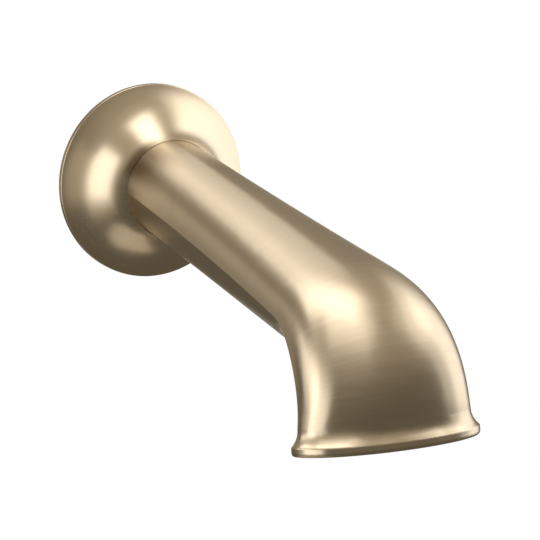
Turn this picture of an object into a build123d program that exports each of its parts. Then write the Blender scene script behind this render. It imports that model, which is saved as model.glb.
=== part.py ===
"""Wall-mounted bath spout: a sloped tube that sweeps down into a wide flared mouth.

Frame: the wall is the plane y = 0, the spout reaches out along -Y, +Z is up, and the
origin is the centre of the wall flange on the wall. Sizes are in millimetres.
"""
import os
from build123d import *

# Bell flange on the wall
flange_radius = 35.0
flange_height = 20.5
rim_height = 2.0
rim_round = 0.4
bell_sag = 2.8
flange_wall = 1.6
neck_edge = 0.25
neck_clearance = 0.08
collar_length = 9.5

# Rubber ring in the flange's neck
ring_section = 1.7
ring_setback = 7.0
ring_side_play = 0.4

# Path of the spout, from the flange's neck to the lip
tube_slope = 7.15
tube_length = 122.6
bend_radius = 31.8
outlet_angle = 78.4
neck_length = 0.8

# Half widths, crown heights and keel depths of the body's sections
root_radius = 17.3
stub_step = 0.06
shoulder_half_width = 22.3
shoulder_crown = 16.4
shoulder_keel = 14.9
elbow_half_width = 25.2
elbow_crown = 19.1
elbow_keel = 14.6
neck_half_width = 27.6
neck_crown = 15.0
neck_keel = 14.0
body_wall = 3.0
tube_draft = 16.0
tube_flare_power = 2.0
elbow_flare_power = 1.2
crown_fall_power = 2.0

# Cove and lip round the mouth
cove_height = 5.0
lip_overhang = 2.4
lip_height = 2.7
lip_round = 1.2
lip_edge_round = 0.6
cove_steps = 3

# Inlet for a half-inch nominal copper pipe, 15.88 mm outside
pipe_bore_radius = 8.05
sleeve_wall = 2.45
sleeve_length = 43.0
sleeve_collar_overhang = 2.6
sleeve_collar_thickness = 2.0
sleeve_clearance = 0.05
hub_length = 30.0
pipe_stop_radius = 6.5
seal_squeeze = 0.03

# Set screw under the tube
screw_end_margin = 8.0
screw_radius = 3.0
screw_length = 10.0
screw_clearance = 0.05
hex_across_flats = 3.0
hex_depth = 3.0
screw_chamfer = 0.5

stub_setback = sleeve_collar_thickness
sleeve_radius = pipe_bore_radius + sleeve_wall
hub_bore_radius = sleeve_radius + sleeve_clearance
seal_section = hub_bore_radius - pipe_bore_radius - 2 * seal_squeeze
hub_depth = sleeve_length - sleeve_collar_thickness + seal_section + seal_squeeze
seal_centre = (hub_bore_radius + pipe_bore_radius) / 2
seal_setback = stub_setback + hub_depth - seal_section / 2
screw_setback = sleeve_length - screw_end_margin
stub_radius = root_radius + stub_step
neck_bore = stub_radius + neck_clearance
ring_depth = ring_section - neck_clearance
outlet_length = neck_length + cove_height + lip_height

# The spout's centre line: sloped tube, elbow, outlet
side_plane = Plane(origin=(0, -flange_height, 0), x_dir=(0, -1, 0), z_dir=(-1, 0, 0))
with BuildLine(side_plane):
    tube_line = PolarLine((0, 0), tube_length, -tube_slope)
    elbow_arc = JernArc(tube_line @ 1, tube_line % 1, bend_radius, tube_slope - outlet_angle)
    outlet_line = PolarLine(elbow_arc @ 1, outlet_length, direction=elbow_arc % 1)


def station(edge, distance):
    """Plane square to the centre line, X across the spout and local Y to the crown."""
    place = edge.position_at(distance, position_mode=PositionMode.LENGTH)
    heading = edge.tangent_at(distance, position_mode=PositionMode.LENGTH)
    return Plane(origin=place, x_dir=(1, 0, 0), z_dir=heading)


def spout_face(plane, half_width, crown, keel, draft=None):
    """Section of the spout: a half-ellipse crown over a keel that leans in below a crease each side."""
    left, bottom, right = (-half_width, 0), (0, -keel), (half_width, 0)
    with BuildSketch(plane) as section:
        with BuildLine():
            EllipticalCenterArc((0, 0), half_width, crown, arc_size=180)
            if draft is None:
                ThreePointArc(left, bottom, right)
            else:
                fall = Vector(0, -1).rotate(Axis.Z, draft)
                rise = Vector(0, 1).rotate(Axis.Z, -draft)
                Spline(left, bottom, right, tangents=(fall, rise))
        make_face()
    return section.sketch


def between(start, end, share):
    return start + (end - start) * share


neck_plane = station(outlet_line, neck_length)
lip_plane = station(outlet_line, neck_length + cove_height)


def tube_face(share, inset):
    """Section of the tube: it widens slowly at first, then faster towards the shoulder."""
    return spout_face(
        station(tube_line, tube_length * share),
        between(root_radius, shoulder_half_width, share**tube_flare_power) - inset,
        between(root_radius, shoulder_crown, share) - inset,
        between(root_radius, shoulder_keel, share) - inset,
        tube_draft if share < 1 else None,
    )


def rise_face(share, inset):
    """Section of the elbow's first half, from the shoulder to the crown's highest swell."""
    return spout_face(
        station(elbow_arc, elbow_arc.length * share / 2),
        between(shoulder_half_width, elbow_half_width, share**elbow_flare_power) - inset,
        between(shoulder_crown, elbow_crown, share) - inset,
        between(shoulder_keel, elbow_keel, share) - inset,
    )


def fall_face(share, inset):
    """Section of the elbow's second half, where the crown falls back to the neck."""
    return spout_face(
        station(elbow_arc, elbow_arc.length * (1 + share) / 2) if share < 1 else neck_plane,
        between(elbow_half_width, neck_half_width, share) - inset,
        between(elbow_crown, neck_crown, share**crown_fall_power) - inset,
        between(elbow_keel, neck_keel, share) - inset,
    )


def elbow_faces(inset):
    """Sections from the shoulder to the neck, drawn in by a wall."""
    return [
        rise_face(0, inset),
        rise_face(0.5, inset),
        rise_face(1, inset),
        fall_face(0.5, inset),
        fall_face(1, inset),
    ]


def mouth_face(plane, overhang):
    return spout_face(plane, neck_half_width + overhang, neck_crown + overhang, neck_keel + overhang)


# Cove: a circular arc that leaves the neck along the outlet and reaches the lip's edge
cove_radius = (cove_height**2 + lip_overhang**2) / (2 * lip_overhang)


def cove_face(share):
    height = cove_height * share
    overhang = cove_radius - (cove_radius**2 - height**2) ** 0.5
    return mouth_face(station(outlet_line, neck_length + height), overhang)


with BuildPart() as spout_body:
    # Stub through the flange, then the tube, elbow and neck as one flowing skin
    with BuildSketch(Plane.XZ.offset(stub_setback)):
        Circle(stub_radius)
    extrude(amount=flange_height - stub_setback)
    root_face = spout_face(Plane.XZ.offset(flange_height), root_radius, root_radius, root_radius, tube_draft)
    loft([root_face, tube_face(0.5, 0), tube_face(1, 0)])
    loft(elbow_faces(0))
    # Cove and lip round the mouth
    loft([cove_face(step / cove_steps) for step in range(cove_steps + 1)])
    extrude(mouth_face(lip_plane, lip_overhang), amount=lip_height)
    # Water chamber, open through the mouth
    hub_share = hub_length / tube_length
    loft(
        [tube_face(hub_share, body_wall), tube_face((hub_share + 1) / 2, body_wall), tube_face(1, body_wall)],
        mode=Mode.SUBTRACT,
    )
    loft(elbow_faces(body_wall), mode=Mode.SUBTRACT)
    extrude(mouth_face(neck_plane, -body_wall), amount=cove_height + lip_height, mode=Mode.SUBTRACT)
    # Eased edges of the lip
    outlet_axis = Axis(lip_plane.origin, lip_plane.z_dir)
    fillet(spout_body.faces().sort_by(outlet_axis)[-1].edges(), lip_round)
    lip_top = [e for e in spout_body.edges() if abs(lip_plane.to_local_coords(e.center()).Z) < lip_edge_round]
    fillet(lip_top, lip_edge_round)
    # Hub bore for the sleeve and seal, and the pipe stop in front of it
    with BuildSketch(Plane.XZ.offset(stub_setback)):
        Circle(hub_bore_radius)
    extrude(amount=hub_depth, mode=Mode.SUBTRACT)
    with BuildSketch(Plane.XZ.offset(stub_setback)):
        Circle(pipe_stop_radius)
    extrude(amount=flange_height + hub_length, mode=Mode.SUBTRACT)
    # Hole for the set screw
    with BuildSketch(Plane.XY):
        with Locations((0, -screw_setback)):
            Circle(screw_radius + screw_clearance)
    extrude(amount=-2 * root_radius, mode=Mode.SUBTRACT)

with BuildPart() as wall_flange:
    # Trumpet-shaped shell, hollow behind, with a collar that rides on the stub
    with BuildSketch(Plane.XY) as shell_section:
        with BuildLine():
            edge = Line((neck_bore, -flange_height), (neck_bore + neck_edge, -flange_height))
            bell = SagittaArc(edge @ 1, (flange_radius, -rim_height), bell_sag)
            Polyline(bell @ 1, (flange_radius, 0), (neck_bore, 0), edge @ 0)
        make_face()
        rim_corner = shell_section.vertices().group_by(Axis.X)[-1].sort_by(Axis.Y)[0]
        fillet(rim_corner, rim_round)
        with BuildSketch(mode=Mode.PRIVATE) as hollow:
            with Locations((neck_bore, collar_length - flange_height)):
                Rectangle(
                    flange_radius - flange_wall - neck_bore,
                    flange_height - collar_length,
                    align=(Align.MIN, Align.MIN),
                )
            with Locations(bell.arc_center):
                Circle(bell.radius + flange_wall, mode=Mode.SUBTRACT)
        add(hollow.sketch, mode=Mode.SUBTRACT)
        with Locations((neck_bore, ring_setback - flange_height)):
            Rectangle(2 * ring_depth, ring_section + ring_side_play, mode=Mode.SUBTRACT)
    revolve(axis=Axis.Y)

with BuildPart() as flange_ring:
    with BuildSketch(Plane.XY):
        with Locations((stub_radius + ring_section / 2, ring_setback - flange_height)):
            Circle(ring_section / 2)
    revolve(axis=Axis.Y)

with BuildPart() as inlet_sleeve:
    # Bush for the pipe, with a collar at the wall that stops against the back of the stub
    with BuildSketch(Plane.XZ):
        Circle(sleeve_radius + sleeve_collar_overhang)
        Circle(pipe_bore_radius, mode=Mode.SUBTRACT)
    extrude(amount=sleeve_collar_thickness)
    with BuildSketch(Plane.XZ.offset(stub_setback)):
        Circle(sleeve_radius)
        Circle(pipe_bore_radius, mode=Mode.SUBTRACT)
    extrude(amount=sleeve_length - sleeve_collar_thickness)
    with BuildSketch(Plane.XY):
        with Locations((0, -screw_setback)):
            Circle(screw_radius + screw_clearance)
    extrude(amount=-sleeve_radius, mode=Mode.SUBTRACT)

with BuildPart() as pipe_seal:
    with BuildSketch(Plane.XY):
        with Locations((seal_centre, -seal_setback)):
            Circle(seal_section / 2)
    revolve(axis=Axis.Y)

with BuildPart() as set_screw:
    # Hex-socket screw, its point at the pipe and its socket facing down
    with BuildSketch(Plane.XY.offset(-pipe_bore_radius)):
        with Locations((0, -screw_setback)):
            Circle(screw_radius)
    extrude(amount=-screw_length)
    chamfer(set_screw.edges().filter_by(GeomType.CIRCLE), screw_chamfer)
    with BuildSketch(Plane.XY.offset(-pipe_bore_radius - screw_length)):
        with Locations((0, -screw_setback)):
            RegularPolygon(hex_across_flats / 2, 6, major_radius=False)
    extrude(amount=hex_depth, mode=Mode.SUBTRACT)

os.makedirs("parts", exist_ok=True)
pieces = {
    "spout_body": spout_body,
    "wall_flange": wall_flange,
    "flange_ring": flange_ring,
    "inlet_sleeve": inlet_sleeve,
    "pipe_seal": pipe_seal,
    "set_screw": set_screw,
}
for name, piece in pieces.items():
    piece.part.label = name
    export_step(piece.part, f"parts/{name}.step")
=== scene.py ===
"""Bath spout in brushed bronze: finishes, turned pieces and a plain studio around its solids.

Everything is in metres in the spout's own frame: the wall is the plane y = 0, the spout
reaches out along -Y and +Z is up.
"""
from math import cos, pi, radians, sin, sqrt, tan

import bpy
from mathutils import Matrix, Vector


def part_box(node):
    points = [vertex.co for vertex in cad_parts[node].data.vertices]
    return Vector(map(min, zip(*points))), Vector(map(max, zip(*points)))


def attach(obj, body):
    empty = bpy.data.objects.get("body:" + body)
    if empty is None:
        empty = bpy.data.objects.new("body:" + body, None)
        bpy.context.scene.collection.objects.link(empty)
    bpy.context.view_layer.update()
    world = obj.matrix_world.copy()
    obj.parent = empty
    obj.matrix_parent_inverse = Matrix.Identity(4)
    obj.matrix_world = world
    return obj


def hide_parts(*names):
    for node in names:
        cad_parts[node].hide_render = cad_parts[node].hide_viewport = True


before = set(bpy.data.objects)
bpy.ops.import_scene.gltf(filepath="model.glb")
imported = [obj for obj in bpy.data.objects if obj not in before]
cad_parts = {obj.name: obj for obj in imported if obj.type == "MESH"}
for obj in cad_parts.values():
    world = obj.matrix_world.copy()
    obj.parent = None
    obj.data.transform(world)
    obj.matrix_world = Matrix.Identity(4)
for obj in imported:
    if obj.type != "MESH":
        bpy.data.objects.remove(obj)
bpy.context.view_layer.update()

bl_info = {
    "name": "Brushed Bath Spout",
    "version": (1, 0, 0),
    "blender": (4, 5, 0),
    "location": "3D View > Sidebar > Bath Spout",
    "description": "Dresses the solids of a wall-mounted bath spout in brushed bronze",
    "category": "Object",
}

BODY = "root"

flange_low, flange_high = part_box("wall_flange")
ring_low, ring_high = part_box("flange_ring")
seal_low, seal_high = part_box("pipe_seal")
screw_low, screw_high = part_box("set_screw")


def size(name, description, default):
    return bpy.props.FloatProperty(
        name=name, description=description, default=default, precision=5, unit="LENGTH"
    )


def tint(name, description, default):
    return bpy.props.FloatVectorProperty(
        name=name, description=description, default=default, size=3, min=0, max=1, subtype="COLOR"
    )


def share(name, description, default, high=1.0):
    return bpy.props.FloatProperty(
        name=name, description=description, default=default, min=0, max=high, subtype="FACTOR"
    )


class SpoutPathSizes(bpy.types.PropertyGroup):
    """Centre line of the spout, which the brushing follows."""

    bend_y: size("Bend centre Y", "Place of the elbow's centre out from the wall", -0.13819)
    bend_z: size("Bend centre Z", "Height of the elbow's centre", -0.04681)
    bend_radius: size("Bend radius", "Radius of the elbow's centre line", 0.0318)
    cove_start: size("Cove start", "Where the cove above the lip starts, along the centre line", 0.0443)
    tube_slope: bpy.props.FloatProperty(
        name="Tube slope", description="Fall of the tube", default=radians(7.15), subtype="ANGLE"
    )
    outlet_angle: bpy.props.FloatProperty(
        name="Outlet angle", description="Fall of the outlet", default=radians(78.4), subtype="ANGLE"
    )


class FlangeSizes(bpy.types.PropertyGroup):
    """Profile of the bell flange, with the groove for its ring."""

    rim_radius: size("Rim radius", "Outer radius at the wall", flange_high.x)
    height: size("Height", "From the wall to the neck", -flange_low.y)
    rim_height: size("Rim height", "Straight rim at the wall", 0.002)
    rim_round: size("Rim round", "Eased corner of the rim", 0.0004)
    bell_sag: size("Bell sag", "Hollow of the bell's curve", 0.0028)
    wall: size("Wall", "Thickness of the bell", 0.0016)
    neck_radius: size("Neck bore", "Bore round the tube's root", 0.01738)
    neck_edge: size("Neck edge", "Flat end of the neck", 0.00006)
    collar: size("Collar", "Length of the neck's bore", 0.0095)
    groove_low: size("Groove start", "Start of the ring's groove, from the wall", 0.01245)
    groove_high: size("Groove end", "End of the ring's groove, from the wall", 0.01455)
    groove_radius: size("Groove radius", "Bottom of the ring's groove", 0.01906)


class ScrewSizes(bpy.types.PropertyGroup):
    """Hex-socket set screw under the tube."""

    radius: size("Radius", "Outer radius of the thread", screw_high.x)
    length: size("Length", "Overall length", screw_high.z - screw_low.z)
    pitch: size("Pitch", "Distance between turns", 0.001)
    depth: size("Thread depth", "Depth of the thread", 0.00055)
    chamfer: size("Chamfer", "Bevel at each end", 0.0006)
    across_flats: size("Across flats", "Width of the hex socket", 0.003)
    socket_depth: size("Socket depth", "Depth of the hex socket", 0.003)


class FinishSettings(bpy.types.PropertyGroup):
    """Colours and textures of the finishes."""

    bronze: tint("Bronze", "Brushed bronze", (0.81, 0.695, 0.525))
    bronze_shade: tint("Bronze shade", "Darker brush lines", (0.76, 0.64, 0.47))
    # Painted shade: a dark bronze painted round the neck, deepest in its upper left crook, in place of
    # the shade and dark reflections where tube and bell meet
    painted_neck_shade: tint("Painted neck shade", "Darker bronze round the neck", (0.22, 0.155, 0.09))
    cast: tint("Cast inside", "Raw casting inside the spout", (0.42, 0.34, 0.23))
    brass: tint("Brass", "Turned inlet sleeve", (0.83, 0.62, 0.30))
    rubber: tint("Rubber", "Seals", (0.030, 0.029, 0.028))
    steel: tint("Steel", "Set screw", (0.52, 0.51, 0.49))
    roughness: share("Roughness", "Roughness of the brushed bronze", 0.30)
    turned_roughness: share("Turned roughness", "Roughness of the turned flange", 0.265)
    anisotropy: share("Brush stretch", "How far the brushing draws out highlights", 0.7)
    turned_anisotropy: share("Turned stretch", "How far the turning draws out highlights", 0.3)
    brush_lines: bpy.props.FloatProperty(
        name="Brush lines", description="Brush lines to the metre", default=6500.0, min=0
    )


class StudioSettings(bpy.types.PropertyGroup):
    """Camera, floor, backdrop and soft lights."""

    lens: bpy.props.FloatProperty(
        name="Lens", description="Focal length in millimetres", default=120.0, min=1
    )
    floor: tint("Floor", "Pale floor", (0.78, 0.76, 0.73))
    room: tint("Room", "Colour of the room", (1.0, 0.88, 0.70))
    room_high: share("Room above", "Brightness of the room overhead", 0.44)
    room_low: share("Room below", "Brightness of the room below", 0.115)
    key_level: share("Light level", "Brightness of the soft lights", 1.0, 4.0)


# Small helpers for node trees


class Graph:
    """Adds and links the nodes of one tree."""

    def __init__(self, tree):
        self.tree = tree

    def node(self, kind, inputs=(), **settings):
        made = self.tree.nodes.new(kind)
        for name, value in settings.items():
            setattr(made, name, value)
        for key, value in dict(inputs).items():
            self.feed(made.inputs[key], value)
        return made

    def feed(self, socket, value):
        if isinstance(value, bpy.types.NodeSocket):
            self.tree.links.new(value, socket)
        elif value is not None:
            socket.default_value = value

    def math(self, operation, a, b=None, c=None, clamp=False):
        made = self.node("ShaderNodeMath", operation=operation, use_clamp=clamp)
        for socket, value in zip(made.inputs, (a, b, c)):
            self.feed(socket, value)
        return made.outputs[0]

    def vector(self, operation, a, b=None):
        made = self.node("ShaderNodeVectorMath", operation=operation)
        self.feed(made.inputs[0], a)
        self.feed(made.inputs["Scale"] if operation == "SCALE" else made.inputs[1], b)
        return made.outputs["Value" if operation in ("DOT_PRODUCT", "LENGTH") else "Vector"]

    def combine(self, x=0.0, y=0.0, z=0.0):
        return self.node("ShaderNodeCombineXYZ", {"X": x, "Y": y, "Z": z}).outputs[0]

    def split(self, vector):
        return self.node("ShaderNodeSeparateXYZ", {"Vector": vector}).outputs

    def ramp(self, value, low, high, to_low=0.0, to_high=1.0):
        made = self.node("ShaderNodeMapRange", interpolation_type="SMOOTHSTEP", clamp=True)
        for key, given in zip(range(5), (value, low, high, to_low, to_high)):
            self.feed(made.inputs[key], given)
        return made.outputs[0]

    def noise(self, vector, scale, detail, roughness):
        return self.node(
            "ShaderNodeTexNoise",
            {"Vector": vector, "Scale": scale, "Detail": detail, "Roughness": roughness},
        ).outputs[0]

    # A Mix node has sockets of one name for each kind of data, so these two take them by number

    def mix(self, factor, a, b):
        return self.node("ShaderNodeMix", {0: factor, 6: a, 7: b}, data_type="RGBA").outputs[2]

    def mix_value(self, factor, a, b):
        return self.node("ShaderNodeMix", {0: factor, 2: a, 3: b}, data_type="FLOAT").outputs[0]


def rgba(colour):
    return (*colour, 1.0)


def shaded(colour, factor):
    return tuple(channel * factor for channel in colour)


def new_group(name, kind, inputs, outputs):
    """Empty node group with named sockets; returns its graph and the sockets at its two ends."""
    tree = bpy.data.node_groups.new(name, kind)
    for label, socket in inputs:
        tree.interface.new_socket(label, in_out="INPUT", socket_type=socket)
    for label, socket in outputs:
        tree.interface.new_socket(label, in_out="OUTPUT", socket_type=socket)
    graph = Graph(tree)
    return graph, graph.node("NodeGroupInput").outputs, graph.node("NodeGroupOutput").inputs


# Streaks are coarser than the fine lines, come from another part of the noise, and mix with them
STREAK_COARSENESS = 0.3
STREAK_OFFSET = 7.3
STREAK_SHARE = 0.55


def brush_group():
    """Fine lines that run round a piece: their height, and a streak for colour and roughness."""
    name = "Brush Lines"
    if name in bpy.data.node_groups:
        return bpy.data.node_groups[name]
    graph, given, out = new_group(
        name,
        "ShaderNodeTree",
        (
            ("Along", "NodeSocketFloat"),
            ("Place", "NodeSocketVector"),
            ("Lines", "NodeSocketFloat"),
            ("Drift", "NodeSocketFloat"),
        ),
        (("Height", "NodeSocketFloat"), ("Streak", "NodeSocketFloat")),
    )
    slow = graph.vector("SCALE", given["Place"], given["Drift"])
    fine = graph.math("MULTIPLY", given["Along"], given["Lines"])
    coarse = graph.math("MULTIPLY", fine, STREAK_COARSENESS)
    fine_place = graph.vector("ADD", slow, graph.combine(fine))
    coarse_place = graph.vector("ADD", slow, graph.combine(0.0, coarse, STREAK_OFFSET))
    fine_lines = graph.noise(fine_place, 1.0, detail=3.0, roughness=0.65)
    streaks = graph.noise(coarse_place, 1.0, detail=2.0, roughness=0.6)
    fine_part = graph.math("MULTIPLY", fine_lines, 1 - STREAK_SHARE)
    coarse_part = graph.math("MULTIPLY", streaks, STREAK_SHARE)
    graph.feed(out["Height"], fine_lines)
    graph.feed(out["Streak"], graph.math("ADD", fine_part, coarse_part))
    return graph.tree


NOISE_MIDDLE = 0.5


def handling_group():
    """Soft uneven haze left by handling, as a value round zero."""
    name = "Handling Haze"
    if name in bpy.data.node_groups:
        return bpy.data.node_groups[name]
    graph, given, out = new_group(
        name,
        "ShaderNodeTree",
        (("Place", "NodeSocketVector"), ("Scale", "NodeSocketFloat")),
        (("Haze", "NodeSocketFloat"),),
    )
    broad = graph.noise(given["Place"], given["Scale"], detail=4.0, roughness=0.55)
    graph.feed(out["Haze"], graph.math("SUBTRACT", broad, NOISE_MIDDLE))
    return graph.tree


def use_group(graph, tree, inputs):
    made = graph.node("ShaderNodeGroup")
    made.node_tree = tree
    for key, value in inputs.items():
        graph.feed(made.inputs[key], value)
    return made.outputs


def brush_lines(graph, along, place, lines, drift):
    given = {"Along": along, "Place": place, "Lines": lines, "Drift": drift}
    return use_group(graph, brush_group(), given)


def handling_haze(graph, place, scale):
    return use_group(graph, handling_group(), {"Place": place, "Scale": scale})["Haze"]


def new_material(name):
    """Material with a Principled shader; returns it with its graph, shader and Object coordinates."""
    material = bpy.data.materials.new(name)
    material.use_nodes = True
    graph = Graph(material.node_tree)
    shader = next(n for n in material.node_tree.nodes if n.type == "BSDF_PRINCIPLED")
    place = graph.node("ShaderNodeTexCoord").outputs["Object"]
    return material, graph, shader, place


def two_tones(graph, shader, place, scale, edges, low, high):
    """Base colour that drifts between two tones with the handling haze."""
    share_high = graph.ramp(handling_haze(graph, place, scale), *edges)
    graph.feed(shader.inputs["Base Color"], graph.mix(share_high, rgba(low), rgba(high)))


def fine_relief(graph, shader, height, pattern, least_rough, rough_spread, strength, depth):
    """Roughness from a fine pattern, and bump from its height."""
    spread = graph.math("MULTIPLY", pattern, rough_spread)
    graph.feed(shader.inputs["Roughness"], graph.math("ADD", least_rough, spread))
    bump = graph.node("ShaderNodeBump", {"Strength": strength, "Distance": depth, "Height": height})
    graph.feed(shader.inputs["Normal"], bump.outputs[0])


# Painted shade round the neck, a darker bronze in place of the shade and dark reflections where tube
# and
# bell meet: the direction from the axis in which it is deepest, how near to that direction it starts
# and is full (as cosines), its least and greatest share, and where it ends and is full along the tube
# (Y) and on the bell (radius)
CROOK = (-0.731, 0.0, 0.682)
CROOK_EDGES = (0.84, 0.98)
PAINTED_SHADE_SHARES = (0.08, 0.9)
TUBE_PAINTED_SHADE_EDGES = (-0.050, -0.022)
BELL_PAINTED_SHADE_EDGES = (0.0196, 0.0178)


def painted_neck_shade_mask(graph, outward, nearness):
    """Mask of the painted shade round the neck, deepest in the crook at its upper left."""
    towards = graph.vector("DOT_PRODUCT", outward, CROOK)
    return graph.math("MULTIPLY", nearness, graph.ramp(towards, *CROOK_EDGES, *PAINTED_SHADE_SHARES))


# Brushed bronze: drift of the lines, scale of the haze, contrast of the streaks, what streaks and haze
# add to the roughness, bump of the lines, and how strongly each piece is marked
BRUSH_DRIFT = 70.0
BRONZE_HAZE_SCALE = 38.0
STREAK_EDGES = (0.32, 0.68)
STREAK_ROUGHNESS = 0.04
HAZE_ROUGHNESS = 0.06
BRUSH_STRENGTH = 0.1
BRUSH_DEPTH = 0.00002
SPOUT_MARKS = 1.0
BELL_MARKS = 0.35
# Raw casting inside: where a face counts as inside (cosine to the outward direction), its roughness
# and its grit
INSIDE_EDGES = (-0.25, -0.45)
CAST_ROUGHNESS = 0.62
GRIT_SCALE = 900.0
GRIT_HEIGHT = 6.0
# Softer start of the cove: its reach along the centre line, the blend at the end of that reach, and its
# slope, which lessens towards the two ends of the lip (sideways part of the outward direction)
EASE_REACH = 0.0032
EASE_BLEND = 0.003
EASE_ENDS = (0.5, 0.97)
EASE_SLOPES = (-0.36, -0.05)


def finish_metal(
    graph,
    shader,
    place,
    along,
    tangent,
    settings,
    roughness,
    anisotropy,
    marks,
    painted_neck_shade,
    inside=None,
    ease=None,
):
    """Brushed bronze on a shader: colour with painted shade round the neck, roughness, bump and the
    pull of the brushing.
    """
    lines = brush_lines(graph, along, place, settings.brush_lines, BRUSH_DRIFT)
    haze = handling_haze(graph, place, BRONZE_HAZE_SCALE)
    streak = graph.ramp(lines["Streak"], *STREAK_EDGES, 0.5 - marks / 2, 0.5 + marks / 2)
    colour = graph.mix(streak, rgba(settings.bronze_shade), rgba(settings.bronze))
    # Painted shade round the neck darkens the colour
    colour = graph.mix(painted_neck_shade, colour, rgba(settings.painted_neck_shade))
    rough = graph.math("MULTIPLY", streak, STREAK_ROUGHNESS)
    rough = graph.math("ADD", roughness - STREAK_ROUGHNESS / 2, rough)
    rough = graph.math("ADD", rough, graph.math("MULTIPLY", haze, HAZE_ROUGHNESS))
    height = lines["Height"]
    if inside is not None:
        grit = graph.noise(place, GRIT_SCALE, detail=4.0, roughness=0.6)
        colour = graph.mix(inside, colour, rgba(settings.cast))
        rough = graph.mix_value(inside, rough, CAST_ROUGHNESS)
        height = graph.mix_value(inside, height, graph.math("MULTIPLY", grit, GRIT_HEIGHT))
    bump = graph.node(
        "ShaderNodeBump",
        {"Strength": BRUSH_STRENGTH * marks, "Distance": BRUSH_DEPTH, "Height": height},
    )
    if ease is not None:
        eased = graph.node("ShaderNodeBump", {"Strength": 1.0, "Distance": 1.0, "Height": ease})
        graph.feed(bump.inputs["Normal"], eased.outputs[0])
    graph.feed(shader.inputs["Base Color"], colour)
    graph.feed(shader.inputs["Roughness"], rough)
    graph.feed(shader.inputs["Normal"], bump.outputs[0])
    graph.feed(shader.inputs["Tangent"], tangent)
    shader.inputs["Metallic"].default_value = 1.0
    shader.inputs["Anisotropic"].default_value = anisotropy


def bronze_on_spout(settings, path):
    """Bronze brushed round the tube: the lines stay square to the centre line through the bend."""
    material, graph, shader, place = new_material("bronze_spout")
    bend_centre = graph.combine(0.0, path.bend_y, path.bend_z)
    arm = graph.vector("SUBTRACT", place, bend_centre)
    _, arm_y, arm_z = graph.split(arm)
    turn = graph.math("ARCTAN2", graph.math("MULTIPLY", arm_y, -1.0), arm_z)
    turn = graph.math("MINIMUM", graph.math("MAXIMUM", turn, path.tube_slope), path.outlet_angle)
    sine = graph.math("SINE", turn)
    cosine = graph.math("COSINE", turn)
    back_y = graph.math("MULTIPLY", cosine, -1.0)
    back_z = graph.math("MULTIPLY", sine, -1.0)
    heading = graph.combine(0.0, back_y, back_z)
    upward = graph.combine(0.0, back_z, cosine)
    along = graph.math(
        "ADD", graph.vector("DOT_PRODUCT", arm, heading), graph.math("MULTIPLY", turn, path.bend_radius)
    )
    # The casting's inside faces point at the centre line
    rise = graph.math("SUBTRACT", graph.vector("DOT_PRODUCT", arm, upward), path.bend_radius)
    x, y, _ = graph.split(place)
    outward = graph.vector("ADD", graph.combine(x), graph.vector("SCALE", upward, rise))
    outward = graph.vector("NORMALIZE", outward)
    normal = graph.node("ShaderNodeNewGeometry").outputs["Normal"]
    inside = graph.ramp(graph.vector("DOT_PRODUCT", normal, outward), *INSIDE_EDGES)
    # Painted shade round the tube's root, where it meets the bell
    painted_neck_shade = painted_neck_shade_mask(graph, outward, graph.ramp(y, *TUBE_PAINTED_SHADE_EDGES))
    # The polished cove starts softly above the lip
    past = graph.math("MAXIMUM", graph.math("SUBTRACT", along, path.cove_start), 0.0)
    past = graph.math("SMOOTH_MIN", past, EASE_REACH, EASE_BLEND)
    ends = graph.math("ABSOLUTE", graph.split(outward)[0])
    ease = graph.math("MULTIPLY", past, graph.ramp(ends, *EASE_ENDS, *EASE_SLOPES))
    finish_metal(
        graph,
        shader,
        place,
        along,
        heading,
        settings,
        settings.roughness,
        settings.anisotropy,
        SPOUT_MARKS,
        painted_neck_shade,
        inside,
        ease,
    )
    return material


def bronze_on_flange(settings):
    """Bronze brushed round the bell: rings about the pipe's axis."""
    material, graph, shader, place = new_material("bronze_flange")
    x, y, z = graph.split(place)
    around = graph.vector("NORMALIZE", graph.combine(graph.math("MULTIPLY", z, -1.0), 0.0, x))
    radius = graph.vector("LENGTH", graph.combine(x, 0.0, z))
    along = graph.math("SUBTRACT", radius, y)
    outward = graph.vector("NORMALIZE", graph.combine(x, 0.0, z))
    # Painted shade round the bell's neck, where it meets the tube
    painted_neck_shade = painted_neck_shade_mask(graph, outward, graph.ramp(radius, *BELL_PAINTED_SHADE_EDGES))
    finish_metal(
        graph,
        shader,
        place,
        along,
        around,
        settings,
        settings.turned_roughness,
        settings.turned_anisotropy,
        BELL_MARKS,
        painted_neck_shade,
    )
    return material


def turned_brass(settings):
    """Brass with turning marks round the pipe's axis."""
    material, graph, shader, place = new_material("turned_brass")
    x, y, z = graph.split(place)
    radius = graph.vector("LENGTH", graph.combine(x, 0.0, z))
    along = graph.math("SUBTRACT", radius, y)
    lines = brush_lines(graph, along, place, lines=2600.0, drift=25.0)
    dull = shaded(settings.brass, 0.72)
    two_tones(graph, shader, place, scale=90.0, edges=(-0.2, 0.25), low=dull, high=settings.brass)
    fine_relief(
        graph,
        shader,
        lines["Height"],
        lines["Streak"],
        least_rough=0.26,
        rough_spread=0.16,
        strength=0.35,
        depth=0.00003,
    )
    shader.inputs["Metallic"].default_value = 1.0
    return material


def seal_rubber(settings):
    """Moulded black rubber with a pale bloom."""
    material, graph, shader, place = new_material("seal_rubber")
    bloom = shaded(settings.rubber, 2.2)
    two_tones(graph, shader, place, scale=160.0, edges=(-0.05, 0.3), low=settings.rubber, high=bloom)
    grain = graph.noise(place, scale=2600.0, detail=3.0, roughness=0.6)
    fine_relief(
        graph, shader, grain, grain, least_rough=0.52, rough_spread=0.2, strength=0.3, depth=0.00004
    )
    return material


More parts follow.
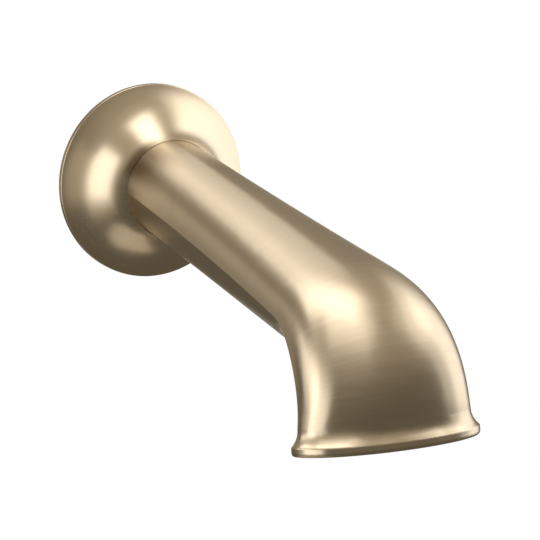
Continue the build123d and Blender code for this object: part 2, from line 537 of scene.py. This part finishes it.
def screw_steel(settings):
    """Plain stainless steel with a fine, uneven grain."""
    material, graph, shader, place = new_material("screw_steel")
    dark = shaded(settings.steel, 0.6)
    two_tones(graph, shader, place, scale=420.0, edges=(-0.2, 0.2), low=dark, high=settings.steel)
    grain = graph.noise(place, scale=5000.0, detail=2.0, roughness=0.5)
    fine_relief(
        graph, shader, grain, grain, least_rough=0.24, rough_spread=0.18, strength=0.2, depth=0.00002
    )
    shader.inputs["Metallic"].default_value = 1.0
    return material


def dress_node(name, material):
    """Gives a CAD node its finish."""
    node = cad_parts[name]
    if not node.material_slots:
        node.data.materials.append(material)
    for slot in node.material_slots:
        slot.material = material


# Geometry node trees

WELD_DISTANCE = 1e-6
SHARP_ANGLE = radians(30)
RIM_ROUND_POINTS = 6
HEX_SIDES = 6
# Where the thread's crest ends and its root begins, as shares of half a pitch from the root's middle
THREAD_FLANK = (0.9, 0.15)
# Fineness of the meshes
BELL_SEGMENTS = 256
BELL_ARC_POINTS = 48
RING_SEGMENTS = 128
RING_SECTION_POINTS = 24
SCREW_SIDES = 48
SCREW_ROWS = 140


def close_tree(graph, mesh, given, out):
    """Welds a mesh, keeps its corners sharp, and ends the tree."""
    welded = graph.node("GeometryNodeMergeByDistance", {"Geometry": mesh, "Distance": WELD_DISTANCE})
    smooth = graph.node(
        "GeometryNodeSetShadeSmooth", {0: welded.outputs[0], "Shade Smooth": True}, domain="FACE"
    )
    angle = graph.node("GeometryNodeInputMeshEdgeAngle").outputs[0]
    corner = graph.node("FunctionNodeCompare", {0: angle, 1: SHARP_ANGLE}, operation="GREATER_THAN")
    sharp = graph.node(
        "GeometryNodeSetShadeSmooth",
        {0: smooth.outputs[0], 1: corner.outputs[0], "Shade Smooth": False},
        domain="EDGE",
    )
    real = graph.node("GeometryNodeRealizeInstances", {"Geometry": sharp.outputs[0]}).outputs[0]
    coloured = graph.node("GeometryNodeSetMaterial", {"Geometry": real, "Material": given["Material"]})
    graph.feed(out["Geometry"], coloured.outputs[0])


def new_tree(name, sizes, counts):
    """Geometry node group with named sizes and counts; returns graph, inputs and outputs."""
    inputs = [("Material", "NodeSocketMaterial")]
    inputs += [(label, "NodeSocketFloat") for label in sizes]
    inputs += [(label, "NodeSocketInt") for label in counts]
    return new_group(name, "GeometryNodeTree", inputs, (("Geometry", "NodeSocketGeometry"),))


def turn_round_pipe(graph, profile, hoop_radius, segments):
    """Sweeps a closed profile round the pipe's axis.

    X is the radius past the hoop, Y the way out from the wall.
    """
    hoop = graph.node(
        "GeometryNodeCurvePrimitiveCircle", {"Resolution": segments, "Radius": hoop_radius}
    ).outputs[0]
    swept = graph.node("GeometryNodeCurveToMesh", {"Curve": hoop, "Profile Curve": profile}).outputs[0]
    return graph.node(
        "GeometryNodeTransform", {"Geometry": swept, "Rotation": (radians(-90), 0.0, 0.0)}
    ).outputs[0]


BELL_SIZES = (
    "Rim Radius",
    "Height",
    "Rim Height",
    "Rim Round",
    "Bell Sag",
    "Wall",
    "Neck Radius",
    "Neck Edge",
    "Collar",
    "Groove Low",
    "Groove High",
    "Groove Radius",
)
BELL_COUNTS = ("Segments", "Arc Points")
SCREW_SIZES = (
    "Radius",
    "Length",
    "Pitch",
    "Thread Depth",
    "Chamfer",
    "Across Flats",
    "Socket Depth",
    "Out",
    "Up",
)
SCREW_COUNTS = ("Sides", "Rows")


def bell_tree():
    """Turned bell: a hollow arc from neck to rim, and an inside that follows it at the wall's depth."""
    graph, given, out = new_tree("Turned Bell", BELL_SIZES, BELL_COUNTS)
    math = graph.math
    reach = given["Arc Points"]
    index = graph.node("GeometryNodeInputIndex").outputs[0]

    def spot(radius, distance):
        return graph.combine(math("SUBTRACT", radius, given["Neck Radius"]), distance, 0.0)

    # Outside: the arc through the bell's sagged middle
    neck = spot(math("ADD", given["Neck Radius"], given["Neck Edge"]), given["Height"])
    rim = spot(given["Rim Radius"], given["Rim Height"])
    chord_x, chord_y, _ = graph.split(graph.vector("SUBTRACT", rim, neck))
    inward = graph.vector("NORMALIZE", graph.combine(chord_y, math("MULTIPLY", chord_x, -1.0), 0.0))
    middle = graph.vector("SCALE", graph.vector("ADD", neck, rim), 0.5)
    middle = graph.vector("ADD", middle, graph.vector("SCALE", inward, given["Bell Sag"]))
    bell = graph.node(
        "GeometryNodeCurveArc",
        {"Resolution": reach, "Start": neck, "Middle": middle, "End": rim},
        mode="POINTS",
    ).outputs
    last = math("SUBTRACT", reach, 1.0)
    outside = graph.node(
        "GeometryNodeSampleCurve",
        {"Curves": bell["Curve"], "Factor": math("DIVIDE", index, last)},
        mode="FACTOR",
    ).outputs["Position"]
    # Corners at the rim's back
    rim_x = math("SUBTRACT", given["Rim Radius"], given["Neck Radius"])
    inner_rim = math("SUBTRACT", given["Rim Radius"], given["Wall"])
    inner_x = math("SUBTRACT", inner_rim, given["Neck Radius"])
    back_corners = (graph.combine(rim_x), graph.combine(inner_x))
    inner_first = math("ADD", reach, len(back_corners))
    # Inside: the same centre, one wall further out, between the rim's back and the collar
    centre_x, centre_y, _ = graph.split(bell["Center"])
    inner_radius = math("ADD", bell["Radius"], given["Wall"])
    inner_square = math("MULTIPLY", inner_radius, inner_radius)
    collar_y = math("SUBTRACT", given["Height"], given["Collar"])

    def leg(offset):
        return math("SQRT", math("SUBTRACT", inner_square, math("MULTIPLY", offset, offset)))

    from_x = math("SUBTRACT", inner_x, centre_x)
    to_y = math("SUBTRACT", collar_y, centre_y)
    from_turn = math("ARCTAN2", math("MULTIPLY", leg(from_x), -1.0), from_x)
    to_turn = math("ARCTAN2", to_y, math("MULTIPLY", leg(to_y), -1.0))
    full_turn = math("MULTIPLY", math("GREATER_THAN", to_turn, 0.0), 2 * pi)
    sweep = math("SUBTRACT", math("SUBTRACT", to_turn, full_turn), from_turn)
    inner_share = math("DIVIDE", math("SUBTRACT", index, inner_first), last)
    turn = math("ADD", from_turn, math("MULTIPLY", sweep, inner_share))
    inside = graph.combine(
        math("ADD", centre_x, math("MULTIPLY", inner_radius, math("COSINE", turn))),
        math("ADD", centre_y, math("MULTIPLY", inner_radius, math("SINE", turn))),
        0.0,
    )
    # Corners along the collar and its groove
    groove_x = math("SUBTRACT", given["Groove Radius"], given["Neck Radius"])
    collar_corners = (
        graph.combine(0.0, collar_y),
        graph.combine(0.0, given["Groove Low"]),
        graph.combine(groove_x, given["Groove Low"]),
        graph.combine(groove_x, given["Groove High"]),
        graph.combine(0.0, given["Groove High"]),
        graph.combine(0.0, given["Height"]),
    )

    def corners(places, first):
        switch = graph.node("GeometryNodeIndexSwitch", data_type="VECTOR")
        while len(switch.index_switch_items) < len(places):
            switch.index_switch_items.new()
        graph.feed(switch.inputs["Index"], math("SUBTRACT", index, first))
        for item, place in enumerate(places):
            graph.feed(switch.inputs[item + 1], place)
        return switch.outputs[0]

    def choose(from_index, before, after):
        later = math("GREATER_THAN", index, math("SUBTRACT", from_index, 0.5))
        return graph.node(
            "GeometryNodeSwitch", {"Switch": later, "False": before, "True": after}, input_type="VECTOR"
        ).outputs[0]

    collar_first = math("ADD", inner_first, reach)
    place = choose(reach, outside, corners(back_corners, reach))
    place = choose(inner_first, place, inside)
    place = choose(collar_first, place, corners(collar_corners, collar_first))
    total = math("ADD", collar_first, len(collar_corners))
    line = graph.node("GeometryNodeCurvePrimitiveLine").outputs[0]
    strip = graph.node("GeometryNodeResampleCurve", {"Curve": line, "Count": total}, mode="COUNT")
    strip = graph.node("GeometryNodeSetPosition", {"Geometry": strip.outputs[0], "Position": place})
    closed = graph.node("GeometryNodeSetSplineCyclic", {"Geometry": strip.outputs[0], "Cyclic": True})
    at_rim = graph.node("FunctionNodeCompare", {0: index, 1: last, "Epsilon": 0.5}, operation="EQUAL")
    rounding = math("MULTIPLY", at_rim.outputs[0], given["Rim Round"])
    eased = graph.node(
        "GeometryNodeFilletCurve",
        {"Curve": closed.outputs[0], "Count": RIM_ROUND_POINTS, "Radius": rounding},
        mode="POLY",
    ).outputs[0]
    shell = turn_round_pipe(graph, eased, given["Neck Radius"], given["Segments"])
    shell = graph.node("GeometryNodeFlipFaces", {"Mesh": shell}).outputs[0]
    close_tree(graph, shell, given, out)
    return graph.tree


def ring_tree():
    """Moulded ring of round section about the pipe's axis."""
    graph, given, out = new_tree(
        "Moulded Ring", ("Ring Radius", "Section Radius", "Set Out"), ("Segments", "Section Points")
    )
    section = graph.node(
        "GeometryNodeCurvePrimitiveCircle",
        {"Resolution": given["Section Points"], "Radius": given["Section Radius"]},
    ).outputs[0]
    ring = turn_round_pipe(graph, section, given["Ring Radius"], given["Segments"])
    away = graph.combine(0.0, graph.math("MULTIPLY", given["Set Out"], -1.0), 0.0)
    placed = graph.node("GeometryNodeTransform", {"Geometry": ring, "Translation": away}).outputs[0]
    close_tree(graph, placed, given, out)
    return graph.tree


def screw_tree():
    """Set screw: a rolled thread that runs out at both bevelled ends, the lower with a hex socket."""
    graph, given, out = new_tree("Socket Screw", SCREW_SIZES, SCREW_COUNTS)
    math = graph.math
    blank = graph.node(
        "GeometryNodeMeshCylinder",
        {
            "Vertices": given["Sides"],
            "Side Segments": given["Rows"],
            "Radius": given["Radius"],
            "Depth": given["Length"],
        },
        fill_type="NGON",
    ).outputs["Mesh"]
    position = graph.node("GeometryNodeInputPosition").outputs[0]
    x, y, z = graph.split(position)
    to_end = math("SUBTRACT", math("MULTIPLY", given["Length"], 0.5), math("ABSOLUTE", z))
    bevel = math("MAXIMUM", math("SUBTRACT", given["Chamfer"], to_end), 0.0)
    around = math("DIVIDE", math("ARCTAN2", y, x), 2 * pi)
    phase = math("ADD", math("DIVIDE", z, given["Pitch"]), around)
    flank = math("ABSOLUTE", math("SUBTRACT", math("MULTIPLY", math("FRACT", phase), 2.0), 1.0))
    groove = graph.ramp(flank, *THREAD_FLANK)
    cut = math("MAXIMUM", bevel, math("MULTIPLY", groove, given["Thread Depth"]))
    keep = math("SUBTRACT", 1.0, math("DIVIDE", cut, given["Radius"]))
    cut_place = graph.combine(math("MULTIPLY", x, keep), math("MULTIPLY", y, keep), z)
    threaded = graph.node("GeometryNodeSetPosition", {"Geometry": blank, "Position": cut_place})
    hexagon = graph.node(
        "GeometryNodeMeshCylinder",
        {
            "Vertices": HEX_SIDES,
            "Radius": math("DIVIDE", given["Across Flats"], sqrt(3)),
            "Depth": math("MULTIPLY", given["Socket Depth"], 2.0),
        },
        fill_type="NGON",
    ).outputs["Mesh"]
    low_end = graph.combine(0.0, 0.0, math("MULTIPLY", given["Length"], -0.5))
    socket = graph.node("GeometryNodeTransform", {"Geometry": hexagon, "Translation": low_end})
    bored = graph.node(
        "GeometryNodeMeshBoolean",
        {"Mesh 1": threaded.outputs[0], "Mesh 2": socket.outputs[0]},
        operation="DIFFERENCE",
        solver="EXACT",
    ).outputs["Mesh"]
    away = graph.combine(0.0, given["Out"], given["Up"])
    placed = graph.node("GeometryNodeTransform", {"Geometry": bored, "Translation": away}).outputs[0]
    close_tree(graph, placed, given, out)
    return graph.tree


def grow(name, tree, material, inputs):
    """Runs a geometry node tree with its named inputs and keeps the result as a plain mesh object."""
    piece = bpy.data.objects.new(name, bpy.data.meshes.new(name))
    bpy.context.scene.collection.objects.link(piece)
    modifier = piece.modifiers.new(tree.name, "NODES")
    modifier.node_group = tree
    for socket in tree.interface.items_tree:
        if socket.item_type == "SOCKET" and socket.in_out == "INPUT":
            value = material if socket.name == "Material" else inputs[socket.name]
            modifier[socket.identifier] = value
    evaluated = piece.evaluated_get(bpy.context.evaluated_depsgraph_get())
    mesh = bpy.data.meshes.new_from_object(evaluated)
    piece.modifiers.clear()
    piece.data = mesh
    mesh.name = name
    if not mesh.polygons:
        raise RuntimeError(f"{name} came out empty")
    return piece


def stand_for(piece, node):
    """Ties a finished piece to the solid that it stands for."""
    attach(piece, BODY)
    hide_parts(node)


def finish_settings(context):
    return context.scene.bath_spout.finish


class SpoutBodyOperator(bpy.types.Operator):
    """Brush the cast spout body"""

    bl_idname = "bath_spout.body"
    bl_label = "Spout Body"

    def execute(self, context):
        settings = context.scene.bath_spout
        dress_node("spout_body", bronze_on_spout(settings.finish, settings.path))
        return {"FINISHED"}


class WallFlangeOperator(bpy.types.Operator):
    """Turn the bell flange at the wall"""

    bl_idname = "bath_spout.flange"
    bl_label = "Wall Flange"

    def execute(self, context):
        sizes = context.scene.bath_spout.flange
        given = {
            "Rim Radius": sizes.rim_radius,
            "Height": sizes.height,
            "Rim Height": sizes.rim_height,
            "Rim Round": sizes.rim_round,
            "Bell Sag": sizes.bell_sag,
            "Wall": sizes.wall,
            "Neck Radius": sizes.neck_radius,
            "Neck Edge": sizes.neck_edge,
            "Collar": sizes.collar,
            "Groove Low": sizes.groove_low,
            "Groove High": sizes.groove_high,
            "Groove Radius": sizes.groove_radius,
            "Segments": BELL_SEGMENTS,
            "Arc Points": BELL_ARC_POINTS,
        }
        bell = grow("bell_flange", bell_tree(), bronze_on_flange(finish_settings(context)), given)
        stand_for(bell, "wall_flange")
        return {"FINISHED"}


class SealsOperator(bpy.types.Operator):
    """Mould the rubber rings of the flange and of the pipe"""

    bl_idname = "bath_spout.seals"
    bl_label = "Rubber Seals"

    def execute(self, context):
        rubber = seal_rubber(finish_settings(context))
        tree = ring_tree()
        for name, node, low, high in (
            ("neck_ring", "flange_ring", ring_low, ring_high),
            ("inlet_seal", "pipe_seal", seal_low, seal_high),
        ):
            section = (high.y - low.y) / 2
            given = {
                "Ring Radius": high.x - section,
                "Section Radius": section,
                "Set Out": -(high.y + low.y) / 2,
                "Segments": RING_SEGMENTS,
                "Section Points": RING_SECTION_POINTS,
            }
            stand_for(grow(name, tree, rubber, given), node)
        return {"FINISHED"}


class InletSleeveOperator(bpy.types.Operator):
    """Finish the turned brass sleeve for the pipe"""

    bl_idname = "bath_spout.sleeve"
    bl_label = "Inlet Sleeve"

    def execute(self, context):
        dress_node("inlet_sleeve", turned_brass(finish_settings(context)))
        return {"FINISHED"}


class SetScrewOperator(bpy.types.Operator):
    """Cut the set screw with its thread and hex socket"""

    bl_idname = "bath_spout.set_screw"
    bl_label = "Set Screw"

    def execute(self, context):
        sizes = context.scene.bath_spout.screw
        given = {
            "Radius": sizes.radius,
            "Length": sizes.length,
            "Pitch": sizes.pitch,
            "Thread Depth": sizes.depth,
            "Chamfer": sizes.chamfer,
            "Across Flats": sizes.across_flats,
            "Socket Depth": sizes.socket_depth,
            "Out": (screw_low.y + screw_high.y) / 2,
            "Up": (screw_low.z + screw_high.z) / 2,
            "Sides": SCREW_SIDES,
            "Rows": SCREW_ROWS,
        }
        screw = grow("socket_screw", screw_tree(), screw_steel(finish_settings(context)), given)
        stand_for(screw, "set_screw")
        return {"FINISHED"}


def stage_sheet(name, corners, material):
    """Flat stage sheet from its outline."""
    mesh = bpy.data.meshes.new(name)
    mesh.from_pydata(corners, [], [list(range(len(corners)))])
    mesh.materials.append(material)
    sheet = bpy.data.objects.new(name, mesh)
    bpy.context.scene.collection.objects.link(sheet)
    return sheet


MATT_ROUGHNESS = 0.9
# Heights of a sight line between which the room brightens
HORIZON = -0.05
OVERHEAD = 1.0


def floor_material(settings):
    """Pale matt floor with a faint unevenness."""
    material, graph, shader, place = new_material("pale_floor")
    deep = shaded(settings.floor, 0.94)
    two_tones(graph, shader, place, scale=6.0, edges=(-0.2, 0.2), low=deep, high=settings.floor)
    shader.inputs["Roughness"].default_value = MATT_ROUGHNESS
    return material


def backdrop_material():
    """White backdrop: white to the camera and in reflections, a plain matt sheet to other light."""
    material, graph, shader, _ = new_material("white_backdrop")
    path = graph.node("ShaderNodeLightPath").outputs
    seen = graph.math("MAXIMUM", path["Is Camera Ray"], path["Is Glossy Ray"])
    seen = graph.math("MAXIMUM", seen, path["Is Transmission Ray"])
    glow = graph.node("ShaderNodeEmission", {"Color": (1.0, 1.0, 1.0, 1.0), "Strength": 1.0})
    both = graph.node("ShaderNodeMixShader", {0: seen, 1: shader.outputs[0], 2: glow.outputs[0]})
    end = next(n for n in material.node_tree.nodes if n.type == "OUTPUT_MATERIAL")
    graph.feed(end.inputs["Surface"], both.outputs[0])
    shader.inputs["Roughness"].default_value = MATT_ROUGHNESS
    return material


def room_world(settings):
    """Plain dim room: an even tone below the horizon, which brightens towards overhead."""
    world = bpy.data.worlds.new("room")
    world.use_nodes = True
    graph = Graph(world.node_tree)
    _, _, height = graph.split(graph.node("ShaderNodeTexCoord").outputs["Generated"])
    level = graph.ramp(height, HORIZON, OVERHEAD, settings.room_low, settings.room_high)
    background = world.node_tree.nodes["Background"]
    background.inputs["Color"].default_value = rgba(settings.room)
    graph.feed(background.inputs["Strength"], level)
    return world


CAMERA_PLACE = Vector((-0.25055, -0.59168, 0.10934))
CAMERA_TURN = radians(-26.843)
CAMERA_RISE = radians(12.470)
CAMERA_ROLL = radians(0.934)
SENSOR_WIDTH = 36.0
CLIP_NEAR = 0.01
CLIP_FAR = 20.0
FLOOR_PLACE = Vector((-0.27, 0.03, -0.75))
FLOOR_RADIUS = 0.23
FLOOR_POINTS = 128
BACKDROP_AWAY = 6.0
BACKDROP_HALF = 0.95
LIGHT_AIM = Vector((0.0, -0.09, -0.02))

# Soft lights round the spout: turn from the front, rise, a further turn sideways, half width and half
# height in degrees, distance in metres, brightness. Boxes that lie over one another give one box a soft
# edge.
# Flags keep the spout's boxes off the bell, and the bell's boxes off everything else.
SPOUT_BOXES = (
    ("spout_left_band", -99, 11, 0, 24, 10, 0.75, 1.25),
    ("spout_left", -70, -4, 0, 20, 18, 0.75, 1.15),
    ("spout_right_core", 91, 11, 0, 18, 31, 0.9, 0.7),
    ("spout_right", 88, 17, 0, 31, 34, 0.9, 0.5),
    ("spout_right_high", 70, 42, 0, 20, 16, 0.9, 0.36),
    ("spout_top_core", -143, 67, 2, 15, 29, 1.0, 1.2),
    ("spout_top", -143, 71, 2, 18, 34, 1.0, 0.5),
    ("spout_front", -42, 62, 0, 26, 16, 1.0, 0.75),
    ("spout_back", 173, 40, 0, 15, 12, 1.1, 0.6),
)
BELL_BOXES = (
    ("bell_left_core", -80, 10, 0, 16, 30, 0.75, 0.85),
    ("bell_left", -81, 4, 0, 18.5, 35, 0.75, 0.45),
    ("bell_right_core", 90, 16, 0, 28, 35, 0.9, 0.8),
    ("bell_right", 88, 18, 0, 35, 40, 0.9, 0.5),
    ("bell_top_core", 180, 80, 0, 13, 23, 1.0, 1.1),
    ("bell_top", 180, 78, 0, 18, 29, 1.0, 0.6),
)
# Warm fills, as bounced by the room: on the bell alone, on all but the bell, and on everything
BELL_FILLS = (
    ("left_fill", -59, 4, 0, 17, 25, 0.25, 0.3),
    ("bell_low_fill", -142, -75, 0, 23, 15, 1.0, 0.42),
)
SPOUT_FILLS = (("low_fill", -90, -68, 0, 24, 13, 1.0, 0.26),)
ROOM_FILLS = (
    ("left_spill", -82, -6, 0, 22, 38, 0.8, 0.2),
    ("back_fill", -158, 0, 0, 17, 15, 1.1, 0.2),
)


def direction(turn, rise):
    """Direction out from the spout: turned from the front towards +X, and raised."""
    return Vector((sin(turn) * cos(rise), -cos(turn) * cos(rise), sin(rise)))


def view_axes(turn, rise, roll):
    """Right, up and back of a camera that is turned round the spout, raised and rolled."""
    back = direction(turn, rise)
    right = Vector((cos(turn), sin(turn), 0.0))
    up = back.cross(right)
    return right * cos(roll) + up * sin(roll), up * cos(roll) - right * sin(roll), back


def bell_flag(name, state):
    """Set of one, the bell, that a light reaches alone or leaves out."""
    flag = bpy.data.collections.new(name)
    flag.objects.link(bpy.data.objects["bell_flange"])
    flag.collection_objects[0].light_linking.link_state = state
    return flag


def soft_light(box, key_level, colour, flag):
    """Flat soft light of an even brightness that faces the spout."""
    name, turn, rise, sideways, half_width, half_height, distance, level = box
    lamp = bpy.data.lights.new(name, "AREA")
    lamp.shape = "RECTANGLE"
    lamp.size = 2 * distance * tan(radians(half_width))
    lamp.size_y = 2 * distance * tan(radians(half_height))
    lamp.energy = pi * lamp.size * lamp.size_y * level * key_level
    lamp.color = colour
    holder = bpy.data.objects.new(name, lamp)
    bpy.context.scene.collection.objects.link(holder)
    facing = direction(radians(turn), radians(rise)).to_track_quat("Z", "Y").to_matrix().to_4x4()
    facing = facing @ Matrix.Rotation(radians(sideways), 4, "Y")
    away = Matrix.Translation((0.0, 0.0, distance))
    holder.matrix_world = Matrix.Translation(LIGHT_AIM) @ facing @ away
    holder.visible_camera = False
    holder.light_linking.receiver_collection = flag


class StudioOperator(bpy.types.Operator):
    """Set up the camera, floor, backdrop and soft lights"""

    bl_idname = "bath_spout.studio"
    bl_label = "Studio"

    def execute(self, context):
        settings = context.scene.bath_spout.studio
        scene = context.scene
        right, up, back = view_axes(CAMERA_TURN, CAMERA_RISE, CAMERA_ROLL)
        camera_data = bpy.data.cameras.new("camera")
        camera_data.lens = settings.lens
        camera_data.sensor_width = SENSOR_WIDTH
        camera_data.clip_start = CLIP_NEAR
        camera_data.clip_end = CLIP_FAR
        camera = bpy.data.objects.new("camera", camera_data)
        scene.collection.objects.link(camera)
        turn = Matrix((right, up, back)).transposed().to_4x4()
        camera.matrix_world = Matrix.Translation(CAMERA_PLACE) @ turn
        scene.camera = camera

        angles = [2 * pi * k / FLOOR_POINTS for k in range(FLOOR_POINTS)]
        rim = [FLOOR_PLACE + Vector((cos(a), sin(a), 0.0)) * FLOOR_RADIUS for a in angles]
        stage_sheet("floor", rim, floor_material(settings))
        centre = CAMERA_PLACE - back * BACKDROP_AWAY
        card = [
            centre + (right * side + up * level) * BACKDROP_HALF
            for side, level in ((-1, -1), (1, -1), (1, 1), (-1, 1))
        ]
        stage_sheet("backdrop", card, backdrop_material())

        white = (1.0, 1.0, 1.0)
        on_bell = bell_flag("on_the_bell", "INCLUDE")
        off_bell = bell_flag("off_the_bell", "EXCLUDE")
        for boxes, colour, flag in (
            (SPOUT_BOXES, white, off_bell),
            (BELL_BOXES, white, on_bell),
            (BELL_FILLS, settings.room, on_bell),
            (SPOUT_FILLS, settings.room, off_bell),
            (ROOM_FILLS, settings.room, None),
        ):
            for box in boxes:
                soft_light(box, settings.key_level, colour, flag)
        scene.world = room_world(settings)
        scene.view_settings.view_transform = "Standard"
        return {"FINISHED"}


class BathSpoutSettings(bpy.types.PropertyGroup):
    """All settings of the bath spout."""

    path: bpy.props.PointerProperty(type=SpoutPathSizes)
    flange: bpy.props.PointerProperty(type=FlangeSizes)
    screw: bpy.props.PointerProperty(type=ScrewSizes)
    finish: bpy.props.PointerProperty(type=FinishSettings)
    studio: bpy.props.PointerProperty(type=StudioSettings)


OPERATORS = (
    SpoutBodyOperator,
    WallFlangeOperator,
    SealsOperator,
    InletSleeveOperator,
    SetScrewOperator,
    StudioOperator,
)


class BathSpoutPanel(bpy.types.Panel):
    """Sizes, finishes and steps of the bath spout"""

    bl_idname = "VIEW3D_PT_bath_spout"
    bl_label = "Bath Spout"
    bl_space_type = "VIEW_3D"
    bl_region_type = "UI"
    bl_category = "Bath Spout"

    def draw(self, context):
        settings = context.scene.bath_spout
        for operator in OPERATORS:
            self.layout.operator(operator.bl_idname)
        for group in (settings.path, settings.flange, settings.screw, settings.finish, settings.studio):
            box = self.layout.box()
            for name in group.__annotations__:
                box.prop(group, name)


CLASSES = (
    SpoutPathSizes,
    FlangeSizes,
    ScrewSizes,
    FinishSettings,
    StudioSettings,
    BathSpoutSettings,
    *OPERATORS,
    BathSpoutPanel,
)


def register():
    for item in CLASSES:
        bpy.utils.register_class(item)
    bpy.types.Scene.bath_spout = bpy.props.PointerProperty(type=BathSpoutSettings)


def unregister():
    del bpy.types.Scene.bath_spout
    for item in reversed(CLASSES):
        bpy.utils.unregister_class(item)


def main():
    register()
    bpy.ops.bath_spout.body()
    bpy.ops.bath_spout.flange()
    bpy.ops.bath_spout.seals()
    bpy.ops.bath_spout.sleeve()
    bpy.ops.bath_spout.set_screw()
    bpy.ops.bath_spout.studio()


if __name__ == "__main__":
    main()
